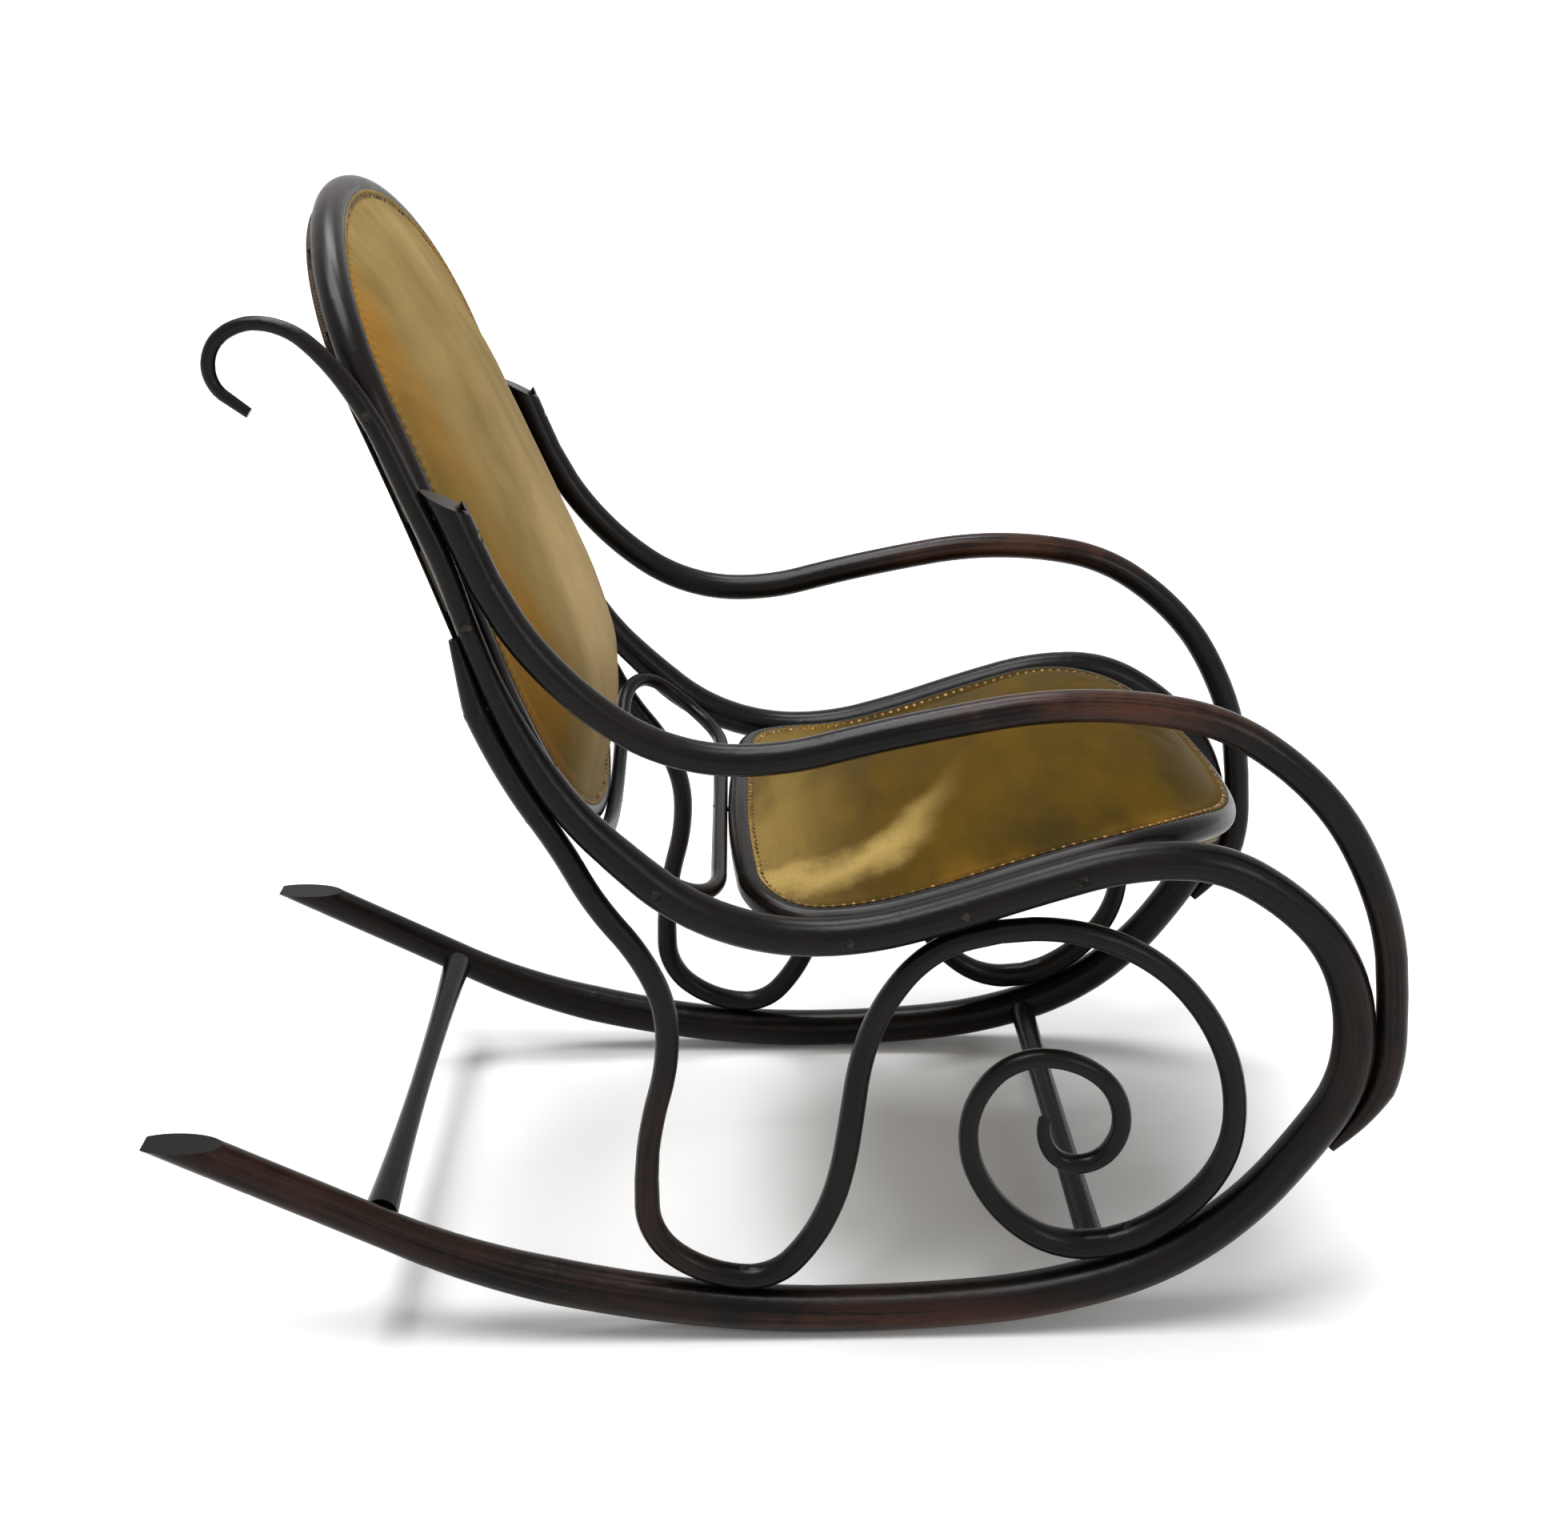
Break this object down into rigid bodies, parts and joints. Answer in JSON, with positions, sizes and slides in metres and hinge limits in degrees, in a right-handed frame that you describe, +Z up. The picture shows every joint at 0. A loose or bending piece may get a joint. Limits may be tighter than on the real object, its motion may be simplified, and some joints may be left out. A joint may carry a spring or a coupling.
{
  "type": "bentwood rocking chair",
  "caption": "Bentwood rocking chair with scrolled side frames, curved runners, open arms, and an upholstered seat and back in bent rings.",
  "frame": {"origin": "on the floor in the chair's middle plane, midway between the runners' lines of contact", "axes": "+X towards the front of the chair, +Y towards the sitter's left, +Z up"},
  "size_m": [1.069, 0.54, 0.966],
  "materials": {
    "bentwood": "dark brown, near black, polished, worn reddish brown on edges",
    "cover_cloth": "short gold pile, worn",
    "stuffing": "hair and wadding",
    "webbing": "jute webbing",
    "bottom_cloth": "hessian",
    "back_cloth": "dark brown cotton",
    "upholstery_nails": "darkened brass",
    "screws": "dull steel"
  },
  "bodies": {
    "root": {"arm_screws": "screws", "back_cover": "cover_cloth", "back_lining": "back_cloth", "back_nails": "upholstery_nails", "back_ring": "bentwood", "back_ring_screws": "screws", "back_stuffing": "stuffing", "back_webbing": "webbing", "connecting_hoop": "bentwood", "front_stretcher": "bentwood", "hoop_screws": "screws", "left_arm": "bentwood", "left_scroll_leg": "bentwood", "left_side_rail": "bentwood", "leg_screws": "screws", "rear_stretcher": "bentwood", "right_arm": "bentwood", "right_scroll_leg": "bentwood", "right_side_rail": "bentwood", "seat_bottom_cloth": "bottom_cloth", "seat_cover": "cover_cloth", "seat_nails": "upholstery_nails", "seat_ring": "bentwood", "seat_ring_screws": "screws", "seat_stuffing": "stuffing", "seat_webbing": "webbing"}
  },
  "joints": []
}
